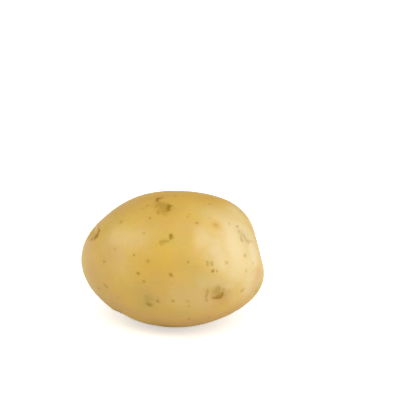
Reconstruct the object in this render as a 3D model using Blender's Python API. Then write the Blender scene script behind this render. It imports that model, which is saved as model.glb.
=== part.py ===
"""A smooth yellow table potato lying on its side, grown as one piece and built as one solid.

+X runs along the tuber, from the heel where the stolon held it to the bud end where its eyes crowd.
+Z is up. The origin is on the surface that the tuber rests on, under the middle of its box.
Run it with: blender --background --python part.py
"""

from functools import partial

import bmesh
import bpy
import numpy as np

MM = 0.001

# The plain tuber, before its swells are added and its resting spot is pressed flat
LENGTH = 90 * MM
WIDTH = 69 * MM
HEIGHT = 64.8 * MM
FULLNESS = 2.08  # 2 is an ellipsoid, and more is boxier

# Broad swells and hollows as (turn, rise, height, spread). Turn is in degrees round the vertical,
# 0 at the bud end and -90 at the front, and rise is in degrees above the middle.
SWELLS = {
    "shoulder over the bud end": (32, 42, 2.8 * MM, 30),
    "hollow under that shoulder": (25, 14, -3.3 * MM, 20),
    "low nose of the bud end": (14, -20, 1.4 * MM, 24),
    "drawn in below the nose": (-8, -55, -1.2 * MM, 28),
    "sloping brow of the heel": (185, 38, -2.6 * MM, 32),
    "blunt heel": (196, -6, 0.8 * MM, 24),
    "flat cheek at the back": (95, 15, -1.6 * MM, 30),
    "bulge behind the heel": (140, -15, 1.4 * MM, 28),
    "bulge behind the bud end": (62, -28, 1.0 * MM, 28),
}

# The eyes as (along, around, width, depth). Along is -1 at the heel and 1 at the bud end, and around is
# in degrees about the length, 0 on top and 90 at the front. They wind round the tuber and crowd forward.
EYES = (
    (-0.58, 292, 10.5 * MM, 0.75 * MM),
    (-0.42, 142, 10.0 * MM, 0.70 * MM),
    (-0.16, 236, 11.5 * MM, 0.95 * MM),
    (0.02, 108, 10.0 * MM, 0.65 * MM),
    (0.07, 19, 12.0 * MM, 0.70 * MM),
    (0.32, 304, 11.5 * MM, 1.00 * MM),
    (0.46, 214, 11.0 * MM, 0.95 * MM),
    (0.71, 102, 13.0 * MM, 0.95 * MM),
    (0.77, 258, 11.5 * MM, 1.05 * MM),
    (0.88, 10, 10.5 * MM, 0.55 * MM),
    (0.95, 170, 9.5 * MM, 0.80 * MM),
)
# Shares of an eye's width and depth: a saucer that is steeper on its heel side, the leaf scar's brow there
# and the sleeping bud, which is wider than long
SAUCER_REACH_TO_HEEL = 0.32
SAUCER_REACH_TO_BUD_END = 0.46
SAUCER_REACH_SIDEWAYS = 0.50
BROW_RADIUS = 0.46
BROW_THICKNESS = 0.11
BROW_HEIGHT = 0.32
BROW_SPAN = 50  # degrees each side of the heel side
BUD_LENGTH = 0.11
BUD_WIDTH = 0.18
BUD_HEIGHT = 0.55

# The dimple where the stolon broke away, with the ring of its rim and the stub left in the middle
SCAR_ALONG = -0.80
SCAR_AROUND = 44
SCAR_RADIUS = 3.6 * MM
SCAR_DEPTH = 1.1 * MM
SCAR_RIM_HEIGHT = 0.18 * MM
SCAR_RIM_THICKNESS = 1.0 * MM
SCAR_STUB_RADIUS = 1.3 * MM
SCAR_STUB_HEIGHT = 0.25 * MM

# The spot that the tuber rests on, pressed flat and eased into the belly
REST_DEPTH = 1.3 * MM
REST_EASE = 0.3 * MM

# Triangles: an even ball, halved round each eye and the scar, and again at its middle
BALL_SUBDIVISIONS = 5
FINE_REACHES = (0.78, 0.40)  # as shares of an eye's width
RELAXING_ROUNDS = 3
TINY = 1e-4  # a step on the unit ball, for slopes
MARK_REACH = 2  # widths, past which an eye or the scar leaves the skin as it is

SKIN_COLOUR = (0.70, 0.47, 0.15, 1.0)
SKIN_ROUGHNESS = 0.45


def clear_scene():
    """Removes what the file opens with."""
    for thing in list(bpy.data.objects):
        bpy.data.objects.remove(thing)


def by_turn(turn, rise):
    """The unit direction at a turn round the vertical and a rise above the middle, in degrees."""
    turn, rise = np.radians(turn), np.radians(rise)
    return np.array([np.cos(rise) * np.cos(turn), np.cos(rise) * np.sin(turn), np.sin(rise)])


def by_length(along, around):
    """The unit direction at a share of the length and an angle about it, 0 on top and 90 at the front."""
    around = np.radians(around)
    out = np.sqrt(1 - along**2)
    return np.array([along, -out * np.sin(around), out * np.cos(around)])


def plain_body(ball):
    """Points of the tuber without its eyes, for unit directions in rows."""
    full = (np.abs(ball) ** FULLNESS).sum(axis=1) ** (-1 / FULLNESS)
    points = ball * full[:, None] * np.array([LENGTH, WIDTH, HEIGHT]) / 2
    for turn, rise, height, spread in SWELLS.values():
        away = np.degrees(np.arccos(np.clip(ball @ by_turn(turn, rise), -1, 1)))
        points = points + ball * (height * np.exp(-((away / spread) ** 2)))[:, None]
    return points


def seat_at(direction):
    """A place on the plain body: (point, towards the bud end, sideways, outwards)."""
    level = np.cross([0.0, 0.0, 1.0], direction)
    level /= np.linalg.norm(level)
    steps = np.array([direction, direction + TINY * level, direction + TINY * np.cross(direction, level)])
    steps /= np.linalg.norm(steps, axis=1)[:, None]
    point, beside, above = plain_body(steps)
    outwards = np.cross(beside - point, above - point)
    outwards /= np.linalg.norm(outwards)
    forwards = np.array([1.0, 0.0, 0.0]) - outwards[0] * outwards
    forwards /= np.linalg.norm(forwards)
    return point, forwards, np.cross(outwards, forwards), outwards


def eye_relief(forwards, sideways, width, depth):
    """Height of an eye above the plain body: a saucer, the brow on its heel side and the sleeping bud."""
    radius = np.hypot(forwards, sideways)
    off_heel = np.degrees(np.abs(np.arctan2(sideways, -forwards)))
    reach = np.where(forwards > 0, SAUCER_REACH_TO_BUD_END, SAUCER_REACH_TO_HEEL) * width
    saucer = -depth * np.exp(-((forwards / reach) ** 2) - (sideways / (SAUCER_REACH_SIDEWAYS * width)) ** 2)
    ridge = np.exp(-(((radius - BROW_RADIUS * width) / (BROW_THICKNESS * width)) ** 2))
    brow = BROW_HEIGHT * depth * ridge * np.exp(-((off_heel / BROW_SPAN) ** 2))
    long_way, wide_way = forwards / (BUD_LENGTH * width), sideways / (BUD_WIDTH * width)
    bud = BUD_HEIGHT * depth * np.exp(-(long_way**2) - wide_way**2)
    return saucer + brow + bud


def scar_relief(forwards, sideways):
    """Height of the stolon's scar above the plain body."""
    radius = np.hypot(forwards, sideways)
    dimple = -SCAR_DEPTH * np.exp(-((radius / (0.75 * SCAR_RADIUS)) ** 2))
    rim = SCAR_RIM_HEIGHT * np.exp(-(((radius - 1.2 * SCAR_RADIUS) / SCAR_RIM_THICKNESS) ** 2))
    stub = SCAR_STUB_HEIGHT * np.exp(-((radius / SCAR_STUB_RADIUS) ** 2))
    return dimple + rim + stub


def press_flat(heights):
    """Raises what lies under the resting level up to it, with an eased edge."""
    level = REST_DEPTH - HEIGHT / 2
    share = np.clip(0.5 + 0.5 * (heights - level) / REST_EASE, 0, 1)
    return heights * share + level * (1 - share) + REST_EASE * share * (1 - share) - level


def add_mark(points, body, along, around, reach, relief):
    """Moves the points within reach of a place outwards by relief(forwards, sideways)."""
    seat, forwards, sideways, outwards = seat_at(by_length(along, around))
    away = body - seat
    near = np.linalg.norm(away, axis=1) < reach
    points[near] += outwards * relief(away[near] @ forwards, away[near] @ sideways)[:, None]


def tuber_points(ball):
    """Points of the finished tuber for unit directions in rows, with the resting spot at height 0."""
    body = plain_body(ball)
    points = body.copy()
    for along, around, width, depth in EYES:
        add_mark(points, body, along, around, MARK_REACH * width, partial(eye_relief, width=width, depth=depth))
    add_mark(points, body, SCAR_ALONG, SCAR_AROUND, MARK_REACH * 2 * SCAR_RADIUS, scar_relief)
    points[:, 2] = press_flat(points[:, 2])
    return points


def halve_edges_near(mesh, reach):
    """Splits the ball's edges that lie within a share of an eye's width of its middle."""
    edges = list(mesh.edges)
    middles = np.array([(edge.verts[0].co + edge.verts[1].co) / 2 for edge in edges])
    middles = plain_body(middles / np.linalg.norm(middles, axis=1)[:, None])
    near = np.zeros(len(edges), bool)
    places = [(along, around, width) for along, around, width, _ in EYES]
    places.append((SCAR_ALONG, SCAR_AROUND, 3 * SCAR_RADIUS))
    for along, around, width in places:
        seat = seat_at(by_length(along, around))[0]
        near |= np.linalg.norm(middles - seat, axis=1) < reach * width
    chosen = [edge for edge, is_near in zip(edges, near) if is_near]
    bmesh.ops.subdivide_edges(mesh, edges=chosen, cuts=1, use_grid_fill=True)
    bmesh.ops.triangulate(mesh, faces=list(mesh.faces))
    bmesh.ops.beautify_fill(mesh, faces=list(mesh.faces), edges=list(mesh.edges))


def relax(mesh):
    """Evens out the triangles on the unit ball."""
    for _ in range(RELAXING_ROUNDS):
        bmesh.ops.smooth_vert(
            mesh, verts=list(mesh.verts), factor=0.5, use_axis_x=True, use_axis_y=True, use_axis_z=True
        )
        for vertex in mesh.verts:
            vertex.co.normalize()


def make_skin_material():
    """Washed yellow skin, with the slight sheen of its own wax."""
    material = bpy.data.materials.new("potato_skin")
    material.use_nodes = True
    surface = material.node_tree.nodes["Principled BSDF"]
    surface.inputs["Base Color"].default_value = SKIN_COLOUR
    surface.inputs["Roughness"].default_value = SKIN_ROUGHNESS
    surface.inputs["Metallic"].default_value = 0.0
    return material


def make_tuber():
    """Moves the points of a ball onto the tuber, and centres it over the origin."""
    mesh = bmesh.new()
    bmesh.ops.create_icosphere(mesh, subdivisions=BALL_SUBDIVISIONS, radius=1)
    for reach in FINE_REACHES:
        halve_edges_near(mesh, reach)
        relax(mesh)
    points = tuber_points(np.array([vertex.co[:] for vertex in mesh.verts]))
    points[:, :2] -= (points[:, :2].min(axis=0) + points[:, :2].max(axis=0)) / 2
    for vertex, point in zip(mesh.verts, points):
        vertex.co = point
    bmesh.ops.recalc_face_normals(mesh, faces=list(mesh.faces))
    shape = bpy.data.meshes.new("potato")
    mesh.to_mesh(shape)
    mesh.free()
    shape.shade_smooth()
    shape.materials.append(make_skin_material())
    tuber = bpy.data.objects.new("potato", shape)
    bpy.context.scene.collection.objects.link(tuber)
    return tuber


def main():
    clear_scene()
    make_tuber()


main()
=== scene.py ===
"""A smooth yellow table potato: thin washed skin, shallow eyes, breathing pores and its stolon's scar.

Laid out as a Blender add-on and run as a script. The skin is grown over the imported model's tuber.
Lengths are in metres. +X runs from the heel, where the stolon held the tuber, to the bud end, and +Z is up.
"""

from dataclasses import dataclass
from functools import partial

import bmesh
import bpy
import numpy as np
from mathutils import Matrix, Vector
from mathutils.bvhtree import BVHTree
from mathutils.geometry import barycentric_transform


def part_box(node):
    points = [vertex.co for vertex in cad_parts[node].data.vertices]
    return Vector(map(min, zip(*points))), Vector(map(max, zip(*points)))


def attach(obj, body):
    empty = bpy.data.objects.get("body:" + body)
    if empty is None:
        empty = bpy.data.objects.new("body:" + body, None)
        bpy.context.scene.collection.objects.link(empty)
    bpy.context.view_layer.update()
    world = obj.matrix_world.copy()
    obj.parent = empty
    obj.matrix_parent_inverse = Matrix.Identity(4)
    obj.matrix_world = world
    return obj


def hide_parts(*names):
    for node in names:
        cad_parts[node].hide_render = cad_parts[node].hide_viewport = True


bl_info = {
    "name": "Table Potato",
    "version": (1, 0, 0),
    "blender": (4, 5, 0),
    "location": "3D View > Sidebar > Potato",
    "description": "Grows a washed yellow potato and sets a white studio round it",
    "category": "Add Mesh",
}

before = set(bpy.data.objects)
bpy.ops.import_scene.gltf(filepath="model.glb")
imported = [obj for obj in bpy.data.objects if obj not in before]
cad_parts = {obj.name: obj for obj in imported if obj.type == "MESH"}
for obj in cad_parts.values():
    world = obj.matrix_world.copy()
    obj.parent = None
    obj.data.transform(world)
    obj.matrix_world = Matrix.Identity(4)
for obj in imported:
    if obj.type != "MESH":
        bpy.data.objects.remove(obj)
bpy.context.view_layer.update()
TUBER_LOW, TUBER_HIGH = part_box("potato")
MM = 0.001
# What keeps a divisor from being 0: a length, and an area between two tiny steps
LEAST_LENGTH, LEAST_AREA = 1e-12, 1e-30

# Broad swells and hollows of the tuber as (turn, rise, height, spread). Turn is in degrees round the
# vertical, 0 at the bud end and -90 at the front, and rise is in degrees above the middle.
SWELLS = {
    "shoulder over the bud end": (32, 42, 2.8 * MM, 30),
    "hollow under that shoulder": (25, 14, -3.3 * MM, 20),
    "low nose of the bud end": (14, -20, 1.4 * MM, 24),
    "drawn in below the nose": (-8, -55, -1.2 * MM, 28),
    "sloping brow of the heel": (185, 38, -2.6 * MM, 32),
    "blunt heel": (196, -6, 0.8 * MM, 24),
    "flat cheek at the back": (95, 15, -1.6 * MM, 30),
    "bulge behind the heel": (140, -15, 1.4 * MM, 28),
    "bulge behind the bud end": (62, -28, 1.0 * MM, 28),
}

# The eyes as (along, around, width, depth, guessed cork). Along is -1 at the heel and 1 at the bud end, and
# around is in degrees about the length, 0 on top and 90 at the front. Guessed cork is the strength of the
# strokes in an eye that the photograph doesn't show. It is 0 where CORK_SEEN holds the eye's own strokes.
EYES = (
    (-0.58, 292, 10.5 * MM, 0.75 * MM, 1.0),
    (-0.42, 142, 10.0 * MM, 0.70 * MM, 1.0),
    (-0.16, 236, 11.5 * MM, 0.95 * MM, 1.0),
    (0.02, 108, 10.0 * MM, 0.65 * MM, 0.0),
    (0.07, 19, 12.0 * MM, 0.70 * MM, 0.0),
    (0.32, 304, 11.5 * MM, 1.00 * MM, 1.0),
    (0.46, 214, 11.0 * MM, 0.95 * MM, 1.0),
    (0.71, 102, 13.0 * MM, 0.95 * MM, 0.0),
    (0.77, 258, 11.5 * MM, 1.05 * MM, 1.0),
    (0.88, 10, 10.5 * MM, 0.55 * MM, 0.0),
    (0.95, 170, 9.5 * MM, 0.80 * MM, 0.3),
)
# Shares of an eye's width and depth
SAUCER_REACH_TO_HEEL = 0.32
SAUCER_REACH_TO_BUD_END = 0.46
SAUCER_REACH_SIDEWAYS = 0.50
BROW_RADIUS = 0.46
BROW_THICKNESS = 0.11
BROW_HEIGHT = 0.32
BROW_SPAN = 50  # degrees each side of the heel side
BUD_LENGTH = 0.11
BUD_WIDTH = 0.18
BUD_HEIGHT = 0.55
CREASE_DEPTH = 0.07 * MM  # the fold in front of the brow
CREASE_THICKNESS = 0.28 * MM
FLOOR_LENGTH, FLOOR_WIDTH = 0.42, 0.45  # how far the greener floor reaches, as shares of the width

# The dimple where the stolon broke away
SCAR_ALONG = -0.80
SCAR_AROUND = 44
SCAR_RADIUS = 3.6 * MM
SCAR_DEPTH = 1.1 * MM
SCAR_RIM_HEIGHT = 0.18 * MM
SCAR_RIM_THICKNESS = 1.0 * MM
SCAR_STUB_RADIUS = 1.3 * MM
SCAR_STUB_HEIGHT = 0.25 * MM
# Shares of its radius: the dimple's reach, where the rim runs, and how ragged the floor's edge is
SCAR_DIMPLE_REACH, SCAR_RIM_RADIUS, SCAR_RAGGED = 0.75, 1.2, 0.16
SCAR_RAGGED_SIZE = 3 * MM
# Strengths of the floor's green and of the cork on the stub, and how much of the stub is corky
SCAR_FLOOR_GREEN, SCAR_STUB_CORK, SCAR_STUB_CORKY = 0.8, 0.45, 0.9

# A breathing pore: its low raised ring and sunken middle, in radii where no unit is given
PORE_REACH = 3
PORE_RAGGED, PORE_RAGGED_SIZE, PORE_RAGGED_WAVES = 0.22, 1.1 * MM, 5
PORE_RING_HEIGHT, PORE_RING_RADIUS, PORE_RING_THICKNESS = 0.035 * MM, 1.15, 0.35
PORE_DEPTH, PORE_HOLE_RADIUS = 0.06 * MM, 0.7
# How the radius and the darkness of a seen pore vary round those of its kind
SEEN_PORE_SPREAD = (0.85, 1.15)
# Guessed pores: the spread of their radii, their darkness, and how far they face away from the camera
SCATTERED_SPREAD = (0.75, 1.35)
HIDDEN_DARKNESS, FLECK_DARKNESS = (0.4, 0.85), (0.12, 0.34)
HIDDEN_TURN = 0.12  # cosine of the angle to the camera
FLECK_SPACING = 0.6  # as a share of the spacing of hidden pores
# The chance that a place is kept halfway along the tuber, and its rise to the bud end
PORE_CHANCE, PORE_CHANCE_RISE = 0.65, 0.35

# Guessed strokes of cork in an eye. Spans are shares of its width, half widths are in mm, and a pair is the
# least and the most, or for counts one past the most.
BUD_STROKE_SPAN, BUD_STROKE_BEND, BUD_STROKE_AHEAD = 0.11, 0.06, 0.01
BUD_HALF_WIDTHS, BUD_STRENGTHS = (0.6, 0.95), (0.8, 1.0)
BUD_HAZE_SPAN, BUD_HAZE_HALF_WIDTH, BUD_HAZE_STRENGTH = 0.1, 2.4, 0.34
BROW_STROKES = ((-32, -5), (-5, 26))  # degrees from the heel side
BROW_HALF_WIDTHS, BROW_STRENGTHS = (0.4, 0.6), (0.35, 0.55)
SPOT_COUNTS, SPOT_SPAN, SPOT_LENGTH = (1, 4), 0.35, 0.6 * MM
SPOT_HALF_WIDTHS, SPOT_STRENGTHS = (0.4, 0.8), (0.25, 0.5)

# How strokes are laid down: how ragged their sides are, how patchy they are, and the power of their fall-off
MARK_LOOK = (0.38, 0.25, 3)
HAZE_LOOK = (0.22, 0.10, 1.8)
HAZE_HALF_WIDTH = 1.4 * MM  # wider strokes are hazes
STROKE_REACH = 3  # half widths
# Sizes of the ragged sides' waves and of the patches, and how they grow with the half width
RAGGED_SIZE, RAGGED_GROWTH, RAGGED_WAVES = 0.8 * MM, 1.2, 6
PATCH_SIZE, PATCH_GROWTH = 0.6 * MM, 0.9
# The least share of the half width, and the patches' middle share of the strength
LEAST_HALF_WIDTH, PATCH_MIDDLE = 0.35, 0.95

# Waves of the ripple that unevenness is made of, as shares of its size
RIPPLE_SIZES = (0.7, 1.4)
# A finer unevenness, as shares of the broad waves' height and size, and the roughness of cork
FINE_WAVE_HEIGHT, FINE_WAVE_SIZE = 0.25, 0.3
SCURF_HEIGHT, SCURF_SIZE = 0.035 * MM, 0.9 * MM

# Places in the photograph's pixels
PHOTO_SIDE = 400
# Breathing pores as kind: (radius, darkness, places)
PORES_SEEN = {
    "dark": (0.66 * MM, 0.88, ((170.5, 274.5), (138, 273.5), (212.8, 271))),
    "small and dark": (0.52 * MM, 0.76, (
        (188, 262), (133.8, 255.3), (150, 218), (188.8, 318.8), (208.4, 317), (216.6, 271.2),
    )),
    "plain": (0.70 * MM, 0.58, (
        (173, 301), (148, 261), (143.7, 281.5), (104, 261.8), (121, 222), (157.5, 301.5), (237.2, 226.5),
        (245, 255.5), (226.5, 262.5), (104.5, 285), (106.5, 286.8), (98.8, 288.3), (196.8, 223),
    )),
    "faint": (0.62 * MM, 0.36, (
        (115, 249.3), (229, 223.7), (209.4, 217.6), (210, 204), (189, 214), (187.5, 217), (246, 271),
        (253, 263), (187.5, 301), (189, 306.3), (118, 297.4), (143, 209), (240.5, 212), (144, 233),
    )),
    "wide": (1.20 * MM, 0.22, ((215.5, 225),)),
}
# Strokes of corky brown skin as (from x, from y, to x, to y, half width in mm, strength)
CORK_SEEN = {
    "bud of the low right eye": (
        (213.6, 298.4, 217, 298, 0.8, 0.8), (217, 298.4, 221, 298, 1.15, 1),
        (219.6, 296.4, 222.2, 295.8, 1.3, 0.95), (221, 294.6, 223, 294.2, 0.95, 0.8),
        (217, 296.8, 221.6, 296, 2.1, 0.5), (216.8, 288, 217.4, 295.6, 0.75, 0.45),
        (219.2, 287.6, 219.8, 293.6, 0.75, 0.55), (224, 289.8, 221.6, 293.6, 0.75, 0.45),
        (216.5, 293, 221.5, 296, 3, 0.45), (218.4, 286.8, 219.4, 292, 1.9, 0.16),
    ),
    "brow of the low right eye": (
        (207.5, 291.3, 206.3, 296, 0.8, 0.5), (206.3, 296, 206.8, 300.4, 0.75, 0.42),
    ),
    "scurfy eye on top": (
        (157, 201.4, 158.2, 198.2, 0.95, 0.9), (159.8, 199.4, 161.8, 197.4, 0.95, 0.48),
        (168, 209.2, 168.6, 205, 1.38, 1), (166.4, 209, 169.8, 206.2, 1, 0.7),
        (164, 204, 166.5, 209.5, 2.1, 0.55), (159.6, 204, 164, 210, 2.5, 0.52),
        (156.4, 206.8, 158, 204.4, 0.95, 0.5), (158, 212.8, 158.8, 210, 0.9, 0.5),
        (163.4, 210.5, 164.2, 214, 1.1, 0.35), (147, 206.2, 147.6, 205.4, 0.9, 0.3),
        (175.2, 195.5, 175.6, 196.5, 0.8, 0.25),
    ),
    "spots": (
        (170.5, 237.6, 171, 235.8, 1.05, 0.85), (160.6, 242.4, 163, 242, 1.2, 0.48),
        (163, 242, 166.4, 241.4, 1, 0.45), (170.8, 275, 172.2, 276.4, 0.5, 0.5),
        (241.2, 291.6, 243.4, 289.2, 0.6, 0.52), (207.4, 261.6, 207.8, 264.8, 0.72, 0.42),
        (211.6, 262.2, 211.9, 264.6, 0.72, 0.46),
    ),
    "low front eye": (
        (146.1, 297, 146.6, 301.5, 0.95, 0.28), (148, 304.2, 149.4, 305.6, 1.38, 0.62),
        (149, 298, 149.4, 304.6, 2, 0.24), (157.6, 297, 157.8, 301, 0.8, 0.14),
    ),
    "scaly eye at the bud end": (
        (239, 231, 239.2, 232, 0.65, 0.42), (241.8, 232.4, 242, 232.8, 0.55, 0.34),
        (240.5, 235.2, 240.9, 236.6, 0.65, 0.42), (241.3, 238.8, 241.9, 240.6, 0.85, 0.46),
        (243.6, 235, 245, 238, 0.9, 0.44), (246.2, 239.8, 248.8, 241.4, 1.05, 0.42),
        (250.6, 241, 252.6, 241.6, 0.7, 0.3), (242, 234, 248, 240.5, 2.6, 0.2),
    ),
    "rim of the stolon's scar": (
        (98.4, 227.8, 98.8, 231, 0.65, 0.55), (98.8, 231, 97.9, 234.2, 1.05, 0.95),
        (97.7, 234.4, 95.5, 237.3, 1.35, 1), (95.3, 237, 91.2, 239.8, 0.85, 0.6),
    ),
}
# Soft clouds of colour, in the same way: skin tones, with painted highlight and painted shade
TINTS_SEEN = {
    # Cream is partly paler skin and partly painted highlight, laid where the softboxes shine
    "cream_and_highlight": (
        (231, 228, 240, 262, 11, 0.76), (248, 262, 250, 282, 8, 0.65), (116, 238, 136, 241, 7, 0.28),
        (118, 250, 122, 262, 6, 0.22), (234, 210, 241, 218, 5, 0.55), (217, 252, 227, 266, 6.5, 0.62),
        (205, 239, 226, 243, 7, 0.5), (251, 244, 254, 260, 6, 0.85), (238, 225, 250, 238, 5.5, 0.8),
        (180, 294, 204, 298, 8, 0.26), (204, 283, 232, 286, 5, 0.4), (228, 294, 234, 298, 4, 0.3),
    ),
    # Amber is partly warmer skin and partly painted warm shade along the top edge and across the middle
    "amber_and_shade": (
        (150, 198, 182, 196, 8.5, 0.42), (182, 196, 214, 199, 8.5, 0.42), (160, 212, 166, 212, 5, 0.3),
        (142, 264, 178, 282, 8, 0.3), (214.5, 224.5, 216.5, 225.5, 2.4, 0.6),
    ),
    # Tan is partly pinker skin and partly painted shade along the underside and at both ends
    "tan": (
        (88, 240, 90, 268, 6, 0.5), (118, 304, 150, 318, 5, 0.6), (150, 318, 200, 321, 5, 0.7),
        (200, 321, 236, 308, 5, 0.6), (258, 275, 246, 300, 5, 0.5), (216, 298, 226, 300, 5, 0.5),
    ),
    "olive": (
        (218, 288.5, 218.7, 293.5, 1.4, 0.7), (224.3, 290.6, 224.6, 290.9, 1, 0.45),
        (150, 299.5, 151.5, 304, 2.2, 0.1), (168, 239, 172, 240, 2.6, 0.35),
        (122, 222, 128, 222.5, 2.4, 0.35), (200, 278, 206, 284, 4.5, 0.4),
    ),
}

# The skin's mesh: an even ball, halved near the eyes and twice near small marks
BALL_SUBDIVISIONS = 7
RELAXING_ROUNDS = 2
TINY = 1e-4  # a step on the unit ball, for slopes
MARK_REACH = 2  # widths, past which an eye or the scar leaves the skin as it is
FINE_EYE_REACH = 0.62  # as a share of an eye's width
FINE_SCAR_REACH = 1.7  # radii
FINE_MARK_REACH = 1.7  # half widths
FINE_MARK_MARGIN = 0.25 * MM
MOST_STRAY = 0.5 * MM  # between the finished skin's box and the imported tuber's
# The coarser ball on which the photograph's places are found
FINDER_SUBDIVISIONS = 6

# Noise in the skin as (size, detail, noise where it starts, noise where it is full, amount, offset)
CLOUDS = {
    "pinker clouds": (16 * MM, 2, 0.40, 0.66, 0.55, 0),
    "greener clouds": (11 * MM, 2, 0.46, 0.70, 0.30, 3),
    "mottling": (1.5 * MM, 4, 0.35, 0.70, 1.0, 5),
    "crumbs": (0.7 * MM, 3, 0.30, 0.60, 1.0, 9),
}
CLOUD_SHIFT = 0.37  # of the offset, sideways
# Cork cells are 0.05 mm, too fine to show, so their net is drawn at 0.6 mm
NET_SIZE, NET_EDGE, NET_STRENGTH = 0.6 * MM, 0.14, 0.10
# Specks about 0.4 mm across and 2.4 mm apart, with their edge as shares of that distance
SPECK_SPACING, SPECK_EDGE, SPECK_STRENGTH = 2.4 * MM, (0.05, 0.12), 0.30
# The share of green in mottling and in the floors of the eyes
MOTTLED_GREEN, FLOOR_GREEN = 0.28, 0.5
# The strength of cork between its crumbs, and what they add to it
CORK_LEAST, CORK_CRUMBS = 0.80, 0.30
# What mottling and cork add to the skin's roughness
MOTTLED_ROUGHNESS, CORK_ROUGHNESS = 0.08, 0.25
# Depths of the fine relief
MOTTLE_DEPTH, NET_DEPTH, CRUMB_DEPTH = 0.03 * MM, 0.10 * MM, 0.08 * MM
# Light sinks this far into the flesh, and red sinks deepest
FLESH_REACH, FLESH_COLOURS = 0.7 * MM, (1.0, 0.6, 0.25)

# Softboxes round the potato as (turn, rise, distance, side, radiance)
SOFTBOXES = {
    "left_softbox": (-150, 38, 0.60, 0.34, 2.15),
    "right_softbox": (-8, 32, 0.60, 0.42, 2.75),
}
# The soft light from the ceiling, in degrees
CEILING_TURN, CEILING_RISE, CEILING_SPREAD = -70, 75, 60
# The room glows most at the horizon, and less up to this sine of the height above it
HORIZON_GLOW, HORIZON_END = 0.9, 0.25
# Towards this turn it keeps only a share of that glow, and loses the rest between these cosines of the angle
DARK_TURN, DARK_SHARE, DARK_COSINES = 135, 0.35, (-0.2, 0.9)
# The paper lies flat this far, and what the camera sees sweeps up all round
PAPER_RADIUS, PAPER_SEGMENTS = 2.0, 96
SWEEP_BEND, SWEEP_STEPS = 2.0, 12
# The sheet that lights the potato is this far under the one that the camera sees
PAPER_GAP = 0.2 * MM
# Distances from the potato's middle between which a sheet's own glow rises: on what the camera sees, so
# that the shadow there stays pale, and on what lights the potato, so that its underside stays dark
SEEN_GLOW = (-0.60, 0.08)
BOUNCED_GLOW = (0.05, 0.20)

# Where sockets sit on a colour Mix node
FACTOR, FIRST, SECOND, MIXED = 0, 6, 7, 2


def linear(hex_colour):
    """An sRGB hex colour as linear red, green, blue and alpha."""
    srgb = [int(hex_colour[at : at + 2], 16) / 255 for at in (0, 2, 4)]
    return (*[part / 12.92 if part <= 0.04045 else ((part + 0.055) / 1.055) ** 2.4 for part in srgb], 1.0)


def number_property(name, description, default, **settings):
    """A number, such as an angle or a brightness."""
    return bpy.props.FloatProperty(name=name, description=description, default=default, **settings)


def length_property(name, description, default):
    """A size in metres that the sidebar shows in the scene's units."""
    return number_property(name, description, default, unit="LENGTH", precision=5)


def share_property(name, description, default):
    """A share from 0 to 1."""
    return number_property(name, description, default, min=0, max=1, subtype="FACTOR")


def colour_property(name, description, hex_colour):
    """A colour given as sRGB hex and kept as linear."""
    return bpy.props.FloatVectorProperty(
        name=name, description=description, default=linear(hex_colour), size=4, min=0, max=1, subtype="COLOR"
    )


class POTATO_PG_form(bpy.types.PropertyGroup):
    """The tuber's plain form, before its swells, and the spot that it rests on."""

    length: length_property("Length", "Heel to bud end of the plain form", 90 * MM)
    width: length_property("Width", "Front to back of the plain form", 69 * MM)
    height: length_property("Height", "Underside to top of the plain form", 64.8 * MM)
    fullness: number_property("Fullness", "2 is an ellipsoid, more is boxier", 2.08)
    rest_depth: length_property("Resting depth", "How deep the resting spot presses the belly", 1.3 * MM)
    rest_ease: length_property("Resting ease", "Height over which the resting spot meets the belly", 0.3 * MM)
    wave_height: length_property("Wave height", "Height of the skin's broad unevenness", 0.06 * MM)
    wave_size: length_property("Wave size", "Distance between those waves", 9 * MM)
    pore_count: bpy.props.IntProperty(
        name="Hidden pores", description="Pores away from the photographed side", default=84
    )
    pore_radius: length_property("Pore radius", "Middle radius of a hidden pore", 0.50 * MM)
    pore_spacing: length_property("Pore spacing", "Least distance between hidden pores", 4.5 * MM)
    fleck_count: bpy.props.IntProperty(name="Flecks", description="Faint small pores all round", default=140)
    fleck_radius: length_property("Fleck radius", "Middle radius of a faint small pore", 0.32 * MM)
    seed: bpy.props.IntProperty(name="Seed", description="Places the hidden pores and marks", default=7)


class POTATO_PG_skin(bpy.types.PropertyGroup):
    """The colours and finish of the washed skin."""

    gold: colour_property("Gold", "The skin's main colour", "DAB34F")
    # Tan colours the pinker clouds, and its placed clouds are painted shade along the underside and ends
    tan: colour_property("Tan", "Pinker clouds in the skin", "CFA05C")
    olive: colour_property("Olive", "Greener clouds and the floor of the eyes", "C4AC50")
    # Cream is partly paler skin and partly painted highlight where the softboxes shine
    cream_and_highlight: colour_property("Cream", "Palest clouds in the skin", "E4D2A4")
    # Amber is partly warmer skin and partly painted warm shade along the top and across the middle
    amber_and_shade: colour_property("Amber", "Warmest clouds in the skin", "D39C34")
    pore: colour_property("Pore", "Corky filling of the breathing pores", "9A6A00")
    cork: colour_property("Cork", "Scurf, buds and brows", "9C6E00")
    roughness: share_property("Roughness", "Of the washed skin", 0.37)
    glow: share_property("Glow", "Share of light that travels in the flesh", 0.15)


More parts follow.
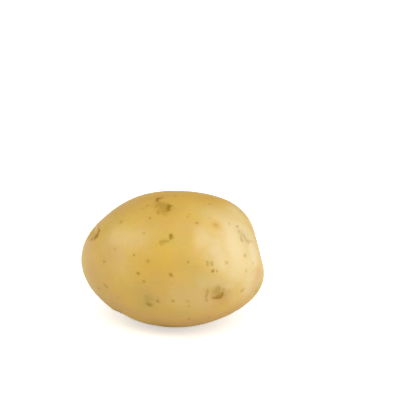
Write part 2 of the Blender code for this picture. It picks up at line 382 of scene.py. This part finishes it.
class POTATO_PG_studio(bpy.types.PropertyGroup):
    """The white studio, with the camera where the photographer's stood."""

    camera_turn: number_property(
        "Camera turn", "From the front towards the bud end", np.radians(20), subtype="ANGLE"
    )
    camera_rise: number_property("Camera rise", "Above the surface", np.radians(18), subtype="ANGLE")
    camera_distance: length_property("Camera distance", "From the camera to the middle of the picture", 0.537)
    aim_height: length_property("Aim height", "Height of the tuber's middle", 32 * MM)
    aim_across: length_property("Aim across", "Picture's middle, to the right of the tuber's", 13.6 * MM)
    aim_above: length_property("Aim above", "Picture's middle, above the tuber's", 27.6 * MM)
    lens: number_property("Lens", "Focal length in millimetres", 100.0, unit="CAMERA")
    sensor: number_property("Sensor", "Width of the camera's sensor in millimetres", 36.0, unit="CAMERA")
    paper: colour_property("Paper", "The white sweep under the potato", "F7F7F7")
    bounce: colour_property("Bounce", "The paper as the potato's underside sees it", "F0F0F0")
    paper_fill: number_property("Paper fill", "Light that pales the shadow that the camera sees", 0.60)
    paper_glow: number_property("Paper glow", "Light that the far paper gives the underside", 0.45)
    sky: number_property("Room light", "White light from all round", 0.28)
    ceiling: number_property("Ceiling light", "White light from above", 0.42)
    flash: number_property("Flash", "Brightness of the softboxes, 1 as photographed", 1.0)


def by_turn(turn, rise):
    """The unit direction at a turn round the vertical and a rise above the middle, in degrees."""
    turn, rise = np.radians(turn), np.radians(rise)
    return np.array([np.cos(rise) * np.cos(turn), np.cos(rise) * np.sin(turn), np.sin(rise)])


def by_length(along, around):
    """The unit direction at a share of the length and an angle about it, 0 on top and 90 at the front."""
    around = np.radians(around)
    out = np.sqrt(1 - along**2)
    return np.array([along, -out * np.sin(around), out * np.cos(around)])


def plain_body(ball, form):
    """Points of the tuber without its eyes, for unit directions in rows."""
    full = (np.abs(ball) ** form.fullness).sum(axis=1) ** (-1 / form.fullness)
    points = ball * full[:, None] * np.array([form.length, form.width, form.height]) / 2
    for turn, rise, height, spread in SWELLS.values():
        away = np.degrees(np.arccos(np.clip(ball @ by_turn(turn, rise), -1, 1)))
        points = points + ball * (height * np.exp(-((away / spread) ** 2)))[:, None]
    return points


def body_and_normals(ball, form):
    """Points of the plain body and the directions that its surface faces there."""
    level = np.cross([0.0, 0.0, 1.0], ball)
    level /= np.linalg.norm(level, axis=1)[:, None] + LEAST_LENGTH
    found = []
    for step in (0, TINY * level, TINY * np.cross(ball, level)):
        moved = ball + step
        found.append(plain_body(moved / np.linalg.norm(moved, axis=1)[:, None], form))
    normals = np.cross(found[1] - found[0], found[2] - found[0])
    return found[0], normals / (np.linalg.norm(normals, axis=1)[:, None] + LEAST_AREA)


def seat_at(direction, form):
    """A place on the plain body: (point, towards the bud end, sideways, outwards)."""
    points, normals = body_and_normals(np.array([direction]), form)
    outwards = normals[0]
    forwards = np.array([1.0, 0.0, 0.0]) - outwards[0] * outwards
    forwards /= np.linalg.norm(forwards)
    return points[0], forwards, np.cross(outwards, forwards), outwards


def eye_relief(forwards, sideways, width, depth):
    """Height of an eye above the plain body: a saucer, the brow on its heel side and the sleeping bud."""
    radius = np.hypot(forwards, sideways)
    off_heel = np.degrees(np.abs(np.arctan2(sideways, -forwards)))
    reach = np.where(forwards > 0, SAUCER_REACH_TO_BUD_END, SAUCER_REACH_TO_HEEL) * width
    saucer = -depth * np.exp(-((forwards / reach) ** 2) - (sideways / (SAUCER_REACH_SIDEWAYS * width)) ** 2)
    ridge = np.exp(-(((radius - BROW_RADIUS * width) / (BROW_THICKNESS * width)) ** 2))
    brow = BROW_HEIGHT * depth * ridge * np.exp(-((off_heel / BROW_SPAN) ** 2))
    long_way, wide_way = forwards / (BUD_LENGTH * width), sideways / (BUD_WIDTH * width)
    bud = BUD_HEIGHT * depth * np.exp(-(long_way**2) - wide_way**2)
    fold = np.exp(-(((radius - (BROW_RADIUS - BROW_THICKNESS) * width) / CREASE_THICKNESS) ** 2))
    crease = -CREASE_DEPTH * fold * np.exp(-((off_heel / BROW_SPAN) ** 2))
    return saucer + brow + bud + crease


def scar_relief(forwards, sideways):
    """Height of the stolon's scar above the plain body."""
    radius = np.hypot(forwards, sideways)
    dimple = -SCAR_DEPTH * np.exp(-((radius / (SCAR_DIMPLE_REACH * SCAR_RADIUS)) ** 2))
    rim = SCAR_RIM_HEIGHT * np.exp(-(((radius - SCAR_RIM_RADIUS * SCAR_RADIUS) / SCAR_RIM_THICKNESS) ** 2))
    stub = SCAR_STUB_HEIGHT * np.exp(-((radius / SCAR_STUB_RADIUS) ** 2))
    return dimple + rim + stub


def press_flat(heights, form):
    """Raises what lies under the resting level up to it, with an eased edge."""
    level = form.rest_depth - form.height / 2
    share = np.clip(0.5 + 0.5 * (heights - level) / form.rest_ease, 0, 1)
    return heights * share + level * (1 - share) + form.rest_ease * share * (1 - share) - level


def ripple(points, size, seed, waves=16):
    """Smooth unevenness between about -1 and 1, with bumps about size apart."""
    draw = np.random.default_rng(seed)
    total = np.zeros(len(points))
    for _ in range(waves):
        direction = draw.normal(size=3)
        direction *= 2 * np.pi / (size * draw.uniform(*RIPPLE_SIZES) * np.linalg.norm(direction))
        total += np.sin(points @ direction + draw.uniform(0, 2 * np.pi))
    return total / np.sqrt(2 * waves)


@dataclass
class Stroke:
    """A soft-edged line of colour on the skin, or a spot where both ends are one place."""

    start: np.ndarray
    end: np.ndarray
    half_width: float
    strength: float
    seed: int


@dataclass
class Pore:
    """A breathing pore: where it is on the unit ball, its radius and how dark its filling is."""

    direction: np.ndarray
    radius: float
    darkness: float


@dataclass
class Skin:
    """The skin while it is worked on: points on the unit ball and on the body, relief and colour masks."""

    ball: np.ndarray
    body: np.ndarray
    outwards: np.ndarray
    relief: np.ndarray
    masks: dict

    def mark(self, mask, near, strength):
        """Raises a mask to a strength at the points where it is lower."""
        self.masks[mask][near] = np.maximum(self.masks[mask][near], strength)


def camera_seat(studio):
    """The photographer's camera: (position, right, up, back)."""
    turn, rise = studio.camera_turn, studio.camera_rise
    back = np.array([np.sin(turn) * np.cos(rise), -np.cos(turn) * np.cos(rise), np.sin(rise)])
    right = np.array([np.cos(turn), np.sin(turn), 0.0])
    up = np.cross(back, right)
    aim = np.array([0, 0, studio.aim_height]) + studio.aim_across * right + studio.aim_above * up
    return aim + studio.camera_distance * back, right, up, back


def make_finder(form, studio):
    """A function from a pixel of the photograph to the unit direction of the skin seen there."""
    mesh = bmesh.new()
    bmesh.ops.create_icosphere(mesh, subdivisions=FINDER_SUBDIVISIONS, radius=1)
    ball = [vertex.co.copy() for vertex in mesh.verts]
    body = plain_body(np.array([place[:] for place in ball]), form)
    middle = (body.min(axis=0) + body.max(axis=0)) / 2
    seat = np.array([-middle[0], -middle[1], form.height / 2 - form.rest_depth])
    corners = [[vertex.index for vertex in face.verts] for face in mesh.faces]
    mesh.free()
    body_places = [Vector(place) for place in body + seat]
    tree = BVHTree.FromPolygons(body_places, corners)
    position, right, up, back = camera_seat(studio)
    side = studio.sensor / studio.lens

    def find(x, y):
        across, above = (x / PHOTO_SIDE - 0.5) * side, (0.5 - y / PHOTO_SIDE) * side
        hit, _, face, _ = tree.ray_cast(Vector(position), Vector(across * right + above * up - back))
        if hit is None:
            raise RuntimeError(f"the photograph's pixel {x}, {y} is not on the potato")
        on_body = [body_places[corner] for corner in corners[face]]
        on_ball = [ball[corner] for corner in corners[face]]
        return np.array(barycentric_transform(hit, *on_body, *on_ball).normalized())

    return find


def seen_strokes(rows, find, form):
    """Strokes whose ends are pixels of the photograph."""
    made = []
    for from_x, from_y, to_x, to_y, half_width, strength in rows:
        ends = plain_body(np.array([find(from_x, from_y), find(to_x, to_y)]), form)
        made.append(Stroke(ends[0], ends[1], half_width * MM, strength, round(from_x * from_y)))
    return made


def hidden_strokes(form, draw):
    """Corky strokes in the eyes that the photograph doesn't show: each bud, its brow and a few spots."""
    made = []

    def add(start, end, half_width, strength):
        made.append(Stroke(start, end, half_width * MM, strength, len(made)))

    for along, around, width, _, guessed in EYES:
        if not guessed:
            continue
        seat, forwards, sideways, _ = seat_at(by_length(along, around), form)
        bend = draw.uniform(-BUD_STROKE_BEND, BUD_STROKE_BEND) * width
        places = []
        for step in (-1, 0, 1):
            ahead = bend * abs(step) + BUD_STROKE_AHEAD * width
            places.append(seat + ahead * forwards + BUD_STROKE_SPAN * step * width * sideways)
        for start, end in zip(places, places[1:]):
            add(start, end, draw.uniform(*BUD_HALF_WIDTHS), guessed * draw.uniform(*BUD_STRENGTHS))
        reach = BUD_HAZE_SPAN * width * forwards
        add(seat - reach, seat + reach, BUD_HAZE_HALF_WIDTH, guessed * BUD_HAZE_STRENGTH)
        for turns in BROW_STROKES:
            ends = []
            for angle in np.radians(turns):
                out = np.sin(angle) * sideways - np.cos(angle) * forwards
                ends.append(seat + BROW_RADIUS * width * out)
            add(*ends, draw.uniform(*BROW_HALF_WIDTHS), guessed * draw.uniform(*BROW_STRENGTHS))
        for _ in range(draw.integers(*SPOT_COUNTS)):
            ahead, aside = draw.uniform(-SPOT_SPAN, SPOT_SPAN), draw.uniform(-SPOT_SPAN, SPOT_SPAN)
            spot = seat + width * (ahead * forwards + aside * sideways)
            half_width, strength = draw.uniform(*SPOT_HALF_WIDTHS), guessed * draw.uniform(*SPOT_STRENGTHS)
            add(spot, spot + SPOT_LENGTH * sideways, half_width, strength)
    return made


def scatter_pores(form, draw, pores, count, radius, spacing, darkness, allowed):
    """Adds pores to a list where allowed(direction), apart from the rest and denser towards the bud end."""
    places = [plain_body(np.array([pore.direction]), form)[0] for pore in pores]
    wanted = len(pores) + count
    while len(pores) < wanted:
        direction = draw.normal(size=3)
        direction /= np.linalg.norm(direction)
        if not allowed(direction) or draw.uniform() > PORE_CHANCE + PORE_CHANCE_RISE * direction[0]:
            continue
        place = plain_body(np.array([direction]), form)[0]
        if np.linalg.norm(np.array(places) - place, axis=1).min() < spacing:
            continue
        places.append(place)
        pores.append(Pore(direction, radius * draw.uniform(*SCATTERED_SPREAD), draw.uniform(*darkness)))


def halve_edges(mesh, places, form):
    """Splits the ball's edges whose middles lie within reach of a place, each given as (point, reach)."""
    edges = list(mesh.edges)
    middles = np.array([(edge.verts[0].co + edge.verts[1].co)[:] for edge in edges])
    middles = plain_body(middles / np.linalg.norm(middles, axis=1)[:, None], form)
    near = np.zeros(len(edges), bool)
    for place, reach in places:
        near |= ((middles - place) ** 2).sum(axis=1) < reach**2
    chosen = [edge for edge, is_near in zip(edges, near) if is_near]
    made = bmesh.ops.subdivide_edges(mesh, edges=chosen, cuts=1, use_grid_fill=True)
    new_points = [piece for piece in made["geom"] if isinstance(piece, bmesh.types.BMVert)]
    fresh = {face for point in new_points for face in point.link_faces}
    filled = bmesh.ops.triangulate(mesh, faces=[face for face in mesh.faces if len(face.verts) > 3])
    fresh = {face for face in fresh if face.is_valid} | set(filled["faces"])
    inner = {edge for face in fresh for edge in face.edges}
    bmesh.ops.beautify_fill(mesh, faces=list(fresh), edges=list(inner))


def relax(mesh):
    """Evens out the triangles on the unit ball."""
    for _ in range(RELAXING_ROUNDS):
        bmesh.ops.smooth_vert(
            mesh, verts=list(mesh.verts), factor=0.5, use_axis_x=True, use_axis_y=True, use_axis_z=True
        )
        for vertex in mesh.verts:
            vertex.co.normalize()


def make_ball(form, strokes, pores):
    """The unit ball's mesh, fine near the eyes and finer near small marks."""
    eyes = []
    for along, around, width, _, _ in EYES:
        eyes.append((seat_at(by_length(along, around), form)[0], FINE_EYE_REACH * width))
    eyes.append((seat_at(by_length(SCAR_ALONG, SCAR_AROUND), form)[0], FINE_SCAR_REACH * SCAR_RADIUS))
    small = []
    for stroke in strokes:
        if stroke.half_width < HAZE_HALF_WIDTH:
            length = np.linalg.norm(stroke.end - stroke.start)
            small.append(((stroke.start + stroke.end) / 2, length / 2 + FINE_MARK_REACH * stroke.half_width))
    for pore in pores:
        small.append((plain_body(np.array([pore.direction]), form)[0], FINE_MARK_REACH * pore.radius))
    mesh = bmesh.new()
    bmesh.ops.create_icosphere(mesh, subdivisions=BALL_SUBDIVISIONS, radius=1)
    halve_edges(mesh, eyes + [(place, reach + FINE_MARK_MARGIN) for place, reach in small], form)
    halve_edges(mesh, small, form)
    relax(mesh)
    return mesh


def add_mark(skin, form, direction, reach, relief):
    """Moves the skin within reach of a place outwards by relief(forwards, sideways)."""
    seat, forwards, sideways, outwards = seat_at(direction, form)
    away = skin.body - seat
    near = np.linalg.norm(away, axis=1) < reach
    height = relief(away[near] @ forwards, away[near] @ sideways)
    skin.relief[near] += outwards * height[:, None]
    return near, away[near] @ forwards, away[near] @ sideways


def press_eyes(skin, form):
    """Presses the eyes into the skin, and marks the floor of each."""
    for along, around, width, depth, _ in EYES:
        relief = partial(eye_relief, width=width, depth=depth)
        near, forwards, sideways = add_mark(skin, form, by_length(along, around), MARK_REACH * width, relief)
        floor = np.exp(-((forwards / (FLOOR_LENGTH * width)) ** 2) - (sideways / (FLOOR_WIDTH * width)) ** 2)
        skin.mark("hollow", near, floor)


def press_scar(skin, form):
    """Presses in the dimple where the stolon broke away."""
    reach = MARK_REACH * 2 * SCAR_RADIUS
    near, forwards, sideways = add_mark(skin, form, by_length(SCAR_ALONG, SCAR_AROUND), reach, scar_relief)
    ragged = 1 + SCAR_RAGGED * ripple(skin.body[near], SCAR_RAGGED_SIZE, form.seed)
    radius = np.hypot(forwards, sideways) * ragged
    floor = np.exp(-((radius / SCAR_RADIUS) ** 3))
    skin.mark("hollow", near, SCAR_FLOOR_GREEN * floor)
    stub = SCAR_STUB_CORK * np.exp(-((radius / (SCAR_STUB_CORKY * SCAR_STUB_RADIUS)) ** 2))
    skin.mark("cork", near, stub)


def open_pores(skin, form, pores):
    """Gives each pore its low ring and sunken, corky middle."""
    for index, pore in enumerate(pores):
        seat, _, _, outwards = seat_at(pore.direction, form)
        away = skin.body - seat
        near = (away**2).sum(axis=1) < (PORE_REACH * pore.radius) ** 2
        ragged = 1 + PORE_RAGGED * ripple(away[near], PORE_RAGGED_SIZE, index, waves=PORE_RAGGED_WAVES)
        radius = np.linalg.norm(away[near], axis=1) / (pore.radius * ragged)
        ring = PORE_RING_HEIGHT * np.exp(-(((radius - PORE_RING_RADIUS) / PORE_RING_THICKNESS) ** 2))
        middle = -PORE_DEPTH * pore.darkness * np.exp(-((radius / PORE_HOLE_RADIUS) ** 2))
        skin.relief[near] += outwards * (ring + middle)[:, None]
        skin.mark("pore", near, pore.darkness * np.exp(-(radius**2)))


def paint(skin, mask, strokes):
    """Lays strokes into a mask, with ragged sides. Wide ones are hazes, and fade out more slowly."""
    for stroke in strokes:
        ragged, patchy, edge = HAZE_LOOK if stroke.half_width > HAZE_HALF_WIDTH else MARK_LOOK
        along = stroke.end - stroke.start
        length = max(np.linalg.norm(along), LEAST_LENGTH)
        reach = length + STROKE_REACH * stroke.half_width
        near = ((skin.body - stroke.start) ** 2).sum(axis=1) < reach**2
        away = skin.body[near] - stroke.start
        share = np.clip(away @ along / length**2, 0, 1)
        distance = np.linalg.norm(away - share[:, None] * along, axis=1)
        size = RAGGED_SIZE + RAGGED_GROWTH * stroke.half_width
        sides = 1 + ragged * ripple(skin.body[near], size, stroke.seed, waves=RAGGED_WAVES)
        half_widths = stroke.half_width * np.maximum(sides, LEAST_HALF_WIDTH)
        size = PATCH_SIZE + PATCH_GROWTH * stroke.half_width
        patches = np.clip(PATCH_MIDDLE + patchy * ripple(skin.body[near], size, stroke.seed + 1), 0, 1)
        skin.mark(mask, near, stroke.strength * patches * np.exp(-((distance / half_widths) ** edge)))


def wave_skin(skin, form):
    """The broad unevenness of grown skin, and the roughness of its corky places."""
    waves = form.wave_height * ripple(skin.body, form.wave_size, form.seed)
    fine = ripple(skin.body, FINE_WAVE_SIZE * form.wave_size, form.seed + 1)
    waves += FINE_WAVE_HEIGHT * form.wave_height * fine
    scurf = SCURF_HEIGHT * skin.masks["cork"] * (1 + ripple(skin.body, SCURF_SIZE, form.seed + 2))
    skin.relief += skin.outwards * (waves + scurf)[:, None]


def seat_skin(skin, form):
    """The skin's finished points, with the resting spot at height 0 and the box's middle over the origin."""
    points = skin.body + skin.relief
    points[:, 2] = press_flat(points[:, 2], form)
    points[:, :2] -= (points[:, :2].min(axis=0) + points[:, :2].max(axis=0)) / 2
    low, high = points.min(axis=0) - TUBER_LOW, points.max(axis=0) - TUBER_HIGH
    strayed = max(np.abs(low).max(), np.abs(high).max())
    if strayed > MOST_STRAY:
        raise RuntimeError(f"the skin strays {strayed / MM:.2f} mm from the packed tuber")
    return points


def feed(tree, node, inputs):
    """Gives a node's sockets the values or links that inputs names for them."""
    for socket, value in inputs.items():
        if isinstance(value, bpy.types.NodeSocket):
            tree.links.new(value, node.inputs[socket])
        else:
            node.inputs[socket].default_value = value


def add_node(tree, kind, inputs=None, **settings):
    """Adds a shader node with its settings, and feeds it."""
    node = tree.nodes.new("ShaderNode" + kind)
    for name, value in settings.items():
        setattr(node, name, value)
    feed(tree, node, inputs or {})
    return node


def new_material(name):
    """A material to build on: (material, its nodes, its surface, the place on the object)."""
    material = bpy.data.materials.new(name)
    material.use_nodes = True
    tree = material.node_tree
    place = add_node(tree, "TexCoord").outputs["Object"]
    return material, tree, tree.nodes["Principled BSDF"], place


def washed_potato_skin(finish):
    """Washed potato skin: thin dry cork over moist flesh. It is satin, and light sinks in a little."""
    material, tree, surface, place = new_material("washed_potato_skin")

    def cloud(name):
        # A soft pattern with patches about size across, from 0 up to amount
        size, detail, low, high, amount, offset = CLOUDS[name]
        shift = (offset, CLOUD_SHIFT * offset, 0)
        moved = add_node(tree, "VectorMath", {0: place, 1: shift}).outputs[0]
        noise = add_node(tree, "TexNoise", {"Vector": moved, "Scale": 1 / size, "Detail": detail})
        spread = {"Value": noise.outputs["Fac"], "From Min": low, "From Max": high, "To Max": amount}
        return add_node(tree, "MapRange", spread).outputs["Result"]

    def blend(under, over, factor):
        inputs = {FACTOR: factor, FIRST: under, SECOND: tuple(getattr(finish, over))}
        return add_node(tree, "Mix", inputs, data_type="RGBA").outputs[MIXED]

    def times(first, second):
        return add_node(tree, "Math", {0: first, 1: second}, operation="MULTIPLY").outputs[0]

    def mask(name):
        return add_node(tree, "Attribute", attribute_name=name).outputs["Fac"]

    def cells(size, start, end, strength, **settings):
        # Cells about size across: strength up to start from their middle or edge, and 0 from end on
        inputs = {"Vector": place, "Scale": 1 / size}
        distance = add_node(tree, "TexVoronoi", inputs, **settings).outputs["Distance"]
        fade = {"Value": distance, "From Min": start, "From Max": end, "To Min": strength, "To Max": 0.0}
        return add_node(tree, "MapRange", fade).outputs["Result"]

    # Clouds of pinker and greener skin, and the mottling of the cork layer
    colour = blend(tuple(finish.gold), "tan", cloud("pinker clouds"))
    colour = blend(colour, "olive", cloud("greener clouds"))
    mottle = cloud("mottling")
    colour = blend(colour, "olive", times(mottle, MOTTLED_GREEN))
    # The net of cork cells, and specks
    net_lines = cells(NET_SIZE, 0.0, NET_EDGE, NET_STRENGTH, feature="DISTANCE_TO_EDGE")
    colour = blend(colour, "cork", net_lines)
    colour = blend(colour, "pore", cells(SPECK_SPACING, *SPECK_EDGE, SPECK_STRENGTH))
    # The floors of the eyes, the placed clouds with their painted highlight and painted shade, pores and cork
    colour = blend(colour, "olive", times(mask("hollow"), FLOOR_GREEN))
    for tint in TINTS_SEEN:
        colour = blend(colour, tint, mask(tint))
    colour = blend(colour, "pore", mask("pore"))
    crumbs = cloud("crumbs")
    broken = {0: crumbs, 1: CORK_CRUMBS, 2: CORK_LEAST}
    broken = add_node(tree, "Math", broken, operation="MULTIPLY_ADD").outputs[0]
    cork = times(mask("cork"), broken)
    colour = blend(colour, "cork", cork)

    dull = {0: mottle, 1: MOTTLED_ROUGHNESS, 2: finish.roughness}
    dull = add_node(tree, "Math", dull, operation="MULTIPLY_ADD").outputs[0]
    dull = {0: cork, 1: CORK_ROUGHNESS, 2: dull}
    roughness = add_node(tree, "Math", dull, operation="MULTIPLY_ADD", use_clamp=True).outputs[0]

    # Fine relief: mottling, the net's sunken lines and crumbly cork
    relief = add_node(tree, "Bump", {"Height": mottle, "Distance": MOTTLE_DEPTH, "Strength": 1.0})
    relief = {"Height": net_lines, "Distance": NET_DEPTH, "Strength": 1.0, "Normal": relief.outputs["Normal"]}
    relief = add_node(tree, "Bump", relief, invert=True)
    crumbly = times(mask("cork"), crumbs)
    relief = {"Height": crumbly, "Distance": CRUMB_DEPTH, "Normal": relief.outputs["Normal"]}
    relief = add_node(tree, "Bump", relief)

    feed(tree, surface, {
        "Base Color": colour,
        "Roughness": roughness,
        "Normal": relief.outputs["Normal"],
        "Metallic": 0.0,
        "IOR": 1.4,
        "Subsurface Weight": finish.glow,
        "Subsurface Radius": FLESH_COLOURS,
        "Subsurface Scale": FLESH_REACH,
    })
    return material


def seamless_paper(name, colour, most, reach):
    """Seamless photographer's paper: matt and white, and lit more strongly further out."""
    material, tree, surface, place = new_material(name)
    distance = add_node(tree, "VectorMath", {0: place}, operation="LENGTH").outputs["Value"]
    ramp = {"Value": distance, "From Min": reach[0], "From Max": reach[1], "To Max": most}
    glow = add_node(tree, "MapRange", ramp).outputs["Result"]
    feed(tree, surface, {
        "Base Color": colour,
        "Roughness": 0.9,
        "Specular IOR Level": 0.0,
        "Emission Color": (1, 1, 1, 1),
        "Emission Strength": glow,
    })
    return material


def add_object(name, data):
    """Puts a mesh, light or camera into the scene."""
    thing = bpy.data.objects.new(name, data)
    bpy.context.scene.collection.objects.link(thing)
    return thing


class POTATO_OT_grow_skin(bpy.types.Operator):
    """Grow the potato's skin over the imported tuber, with its eyes, pores and marks."""

    bl_idname = "potato.grow_skin"
    bl_label = "Grow the Skin"

    def execute(self, context):
        scene = context.scene
        form, studio = scene.potato_form, scene.potato_studio
        draw = np.random.default_rng(form.seed)
        find = make_finder(form, studio)
        cork = [stroke for rows in CORK_SEEN.values() for stroke in seen_strokes(rows, find, form)]
        cork += hidden_strokes(form, draw)
        pores = []
        for radius, darkness, places in PORES_SEEN.values():
            for x, y in places:
                wider, darker = draw.uniform(*SEEN_PORE_SPREAD), draw.uniform(*SEEN_PORE_SPREAD)
                pores.append(Pore(find(x, y), radius * wider, darkness * darker))
        back = camera_seat(studio)[3]
        hidden = (form.pore_count, form.pore_radius, form.pore_spacing, HIDDEN_DARKNESS)
        scatter_pores(form, draw, pores, *hidden, lambda way: way @ back < HIDDEN_TURN)
        flecks = (form.fleck_count, form.fleck_radius, FLECK_SPACING * form.pore_spacing, FLECK_DARKNESS)
        scatter_pores(form, draw, pores, *flecks, lambda way: True)

        mesh = make_ball(form, cork, pores)
        ball = np.array([vertex.co[:] for vertex in mesh.verts])
        ball /= np.linalg.norm(ball, axis=1)[:, None]
        body, outwards = body_and_normals(ball, form)
        masks = {name: np.zeros(len(ball)) for name in ("cork", "pore", "hollow", *TINTS_SEEN)}
        skin = Skin(ball, body, outwards, np.zeros_like(body), masks)
        press_eyes(skin, form)
        press_scar(skin, form)
        open_pores(skin, form, pores)
        paint(skin, "cork", cork)
        # Placed clouds: skin tones, with painted highlight in the cream and painted shade in the amber and
        # tan
        for tint, rows in TINTS_SEEN.items():
            paint(skin, tint, seen_strokes(rows, find, form))
        wave_skin(skin, form)
        points = seat_skin(skin, form)

        shape = bpy.data.meshes.new("potato_skin")
        mesh.to_mesh(shape)
        mesh.free()
        shape.vertices.foreach_set("co", points.astype(np.float32).ravel())
        for name, values in skin.masks.items():
            attribute = shape.attributes.new(name, "FLOAT", "POINT")
            attribute.data.foreach_set("value", values.astype(np.float32))
        shape.shade_smooth()
        shape.update()
        shape.materials.append(washed_potato_skin(scene.potato_skin))
        piece = add_object("potato_skin", shape)
        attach(piece, "root")
        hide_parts("potato")
        return {"FINISHED"}


class POTATO_OT_set_studio(bpy.types.Operator):
    """Set the white paper, the soft lights and the camera round the potato."""

    bl_idname = "potato.set_studio"
    bl_label = "Set the Studio"

    def execute(self, context):
        scene = context.scene
        studio = scene.potato_studio
        # The paper that the camera sees, and under it the one that lights the potato
        paper = seamless_paper("paper", studio.paper, studio.paper_fill, SEEN_GLOW)
        paper = self.lay_paper(paper, is_swept=True)
        paper.visible_diffuse = paper.visible_glossy = paper.visible_shadow = False
        bounce = seamless_paper("paper_underneath", studio.bounce, studio.paper_glow, BOUNCED_GLOW)
        bounce = self.lay_paper(bounce, is_swept=False)
        bounce.location.z = -PAPER_GAP
        bounce.visible_camera = False
        self.light_room(scene, studio)
        self.light_ceiling(studio)
        for name in SOFTBOXES:
            self.hang_softbox(studio, name)
        self.stand_camera(scene, studio)
        return {"FINISHED"}

    def lay_paper(self, material, is_swept):
        mesh = bmesh.new()
        floor = bmesh.ops.create_circle(mesh, cap_ends=True, segments=PAPER_SEGMENTS, radius=PAPER_RADIUS)
        rim = list({edge for vertex in floor["verts"] for edge in vertex.link_edges})
        angles = np.linspace(0, np.pi / 2, SWEEP_STEPS)[1:] if is_swept else []
        for angle in angles:
            raised = bmesh.ops.extrude_edge_only(mesh, edges=rim)["geom"]
            rim = [piece for piece in raised if isinstance(piece, bmesh.types.BMEdge)]
            for vertex in (piece for piece in raised if isinstance(piece, bmesh.types.BMVert)):
                flat = vertex.co.to_2d().normalized() * (PAPER_RADIUS + SWEEP_BEND * np.sin(angle))
                vertex.co = (flat.x, flat.y, SWEEP_BEND * (1 - np.cos(angle)))
        for face in mesh.faces:
            face.smooth = True
        shape = bpy.data.meshes.new(material.name)
        mesh.to_mesh(shape)
        mesh.free()
        shape.materials.append(material)
        paper = add_object(material.name, shape)
        return paper

    def light_room(self, scene, studio):
        room = bpy.data.worlds.new("white_room")
        room.use_nodes = True
        tree = room.node_tree
        way = add_node(tree, "TexCoord").outputs["Generated"]
        height = add_node(tree, "SeparateXYZ", {0: way}).outputs["Z"]
        ramp = {"Value": height, "From Max": HORIZON_END, "To Min": HORIZON_GLOW - studio.sky, "To Max": 0.0}
        glow = add_node(tree, "MapRange", ramp, interpolation_type="SMOOTHSTEP").outputs["Result"]
        towards = {0: way, 1: tuple(by_turn(DARK_TURN, 0))}
        towards = add_node(tree, "VectorMath", towards, operation="DOT_PRODUCT").outputs["Value"]
        least, most = DARK_COSINES
        ramp = {"Value": towards, "From Min": least, "From Max": most, "To Min": 1.0, "To Max": DARK_SHARE}
        share = add_node(tree, "MapRange", ramp, interpolation_type="SMOOTHSTEP").outputs["Result"]
        glow = {0: glow, 1: share, 2: studio.sky}
        strength = add_node(tree, "Math", glow, operation="MULTIPLY_ADD").outputs[0]
        feed(tree, tree.nodes["Background"], {"Color": (1, 1, 1, 1), "Strength": strength})
        scene.world = room
        scene.view_settings.view_transform = "Standard"

    def light_ceiling(self, studio):
        light = bpy.data.lights.new("ceiling", "SUN")
        light.energy = studio.ceiling * np.pi
        light.angle = np.radians(CEILING_SPREAD)
        ceiling = add_object("ceiling", light)
        direction = Vector(by_turn(CEILING_TURN, CEILING_RISE))
        ceiling.rotation_euler = direction.to_track_quat("Z", "Y").to_euler()
        ceiling.visible_glossy = False

    def hang_softbox(self, studio, name):
        turn, rise, distance, side, radiance = SOFTBOXES[name]
        light = bpy.data.lights.new(name, "AREA")
        light.shape = "SQUARE"
        light.size = side
        light.energy = studio.flash * radiance * np.pi * side**2
        softbox = add_object(name, light)
        direction = Vector(by_turn(turn, rise))
        softbox.location = Vector((0, 0, TUBER_HIGH.z / 2)) + distance * direction
        softbox.rotation_euler = direction.to_track_quat("Z", "Y").to_euler()

    def stand_camera(self, scene, studio):
        position, _, _, back = camera_seat(studio)
        camera = add_object("camera", bpy.data.cameras.new("camera"))
        camera.data.lens = studio.lens
        camera.data.sensor_width = studio.sensor
        camera.data.clip_start = 0.01
        camera.location = Vector(position)
        camera.rotation_euler = Vector(back).to_track_quat("Z", "Y").to_euler()
        scene.camera = camera


GROUPS = {"potato_form": POTATO_PG_form, "potato_skin": POTATO_PG_skin, "potato_studio": POTATO_PG_studio}


class POTATO_PT_sidebar(bpy.types.Panel):
    """Lists what can be grown and set."""

    bl_label = "Table Potato"
    bl_idname = "POTATO_PT_sidebar"
    bl_space_type = "VIEW_3D"
    bl_region_type = "UI"
    bl_category = "Potato"

    def draw(self, context):
        for name, kind in GROUPS.items():
            box = self.layout.box()
            for setting in kind.__annotations__:
                box.prop(getattr(context.scene, name), setting)
        self.layout.operator(POTATO_OT_grow_skin.bl_idname)
        self.layout.operator(POTATO_OT_set_studio.bl_idname)


CLASSES = (*GROUPS.values(), POTATO_OT_grow_skin, POTATO_OT_set_studio, POTATO_PT_sidebar)


def register():
    for kind in CLASSES:
        bpy.utils.register_class(kind)
    for name, kind in GROUPS.items():
        setattr(bpy.types.Scene, name, bpy.props.PointerProperty(type=kind))


def unregister():
    for name in GROUPS:
        delattr(bpy.types.Scene, name)
    for kind in reversed(CLASSES):
        bpy.utils.unregister_class(kind)


def main():
    register()
    bpy.ops.potato.grow_skin()
    bpy.ops.potato.set_studio()


if __name__ == "__main__":
    main()
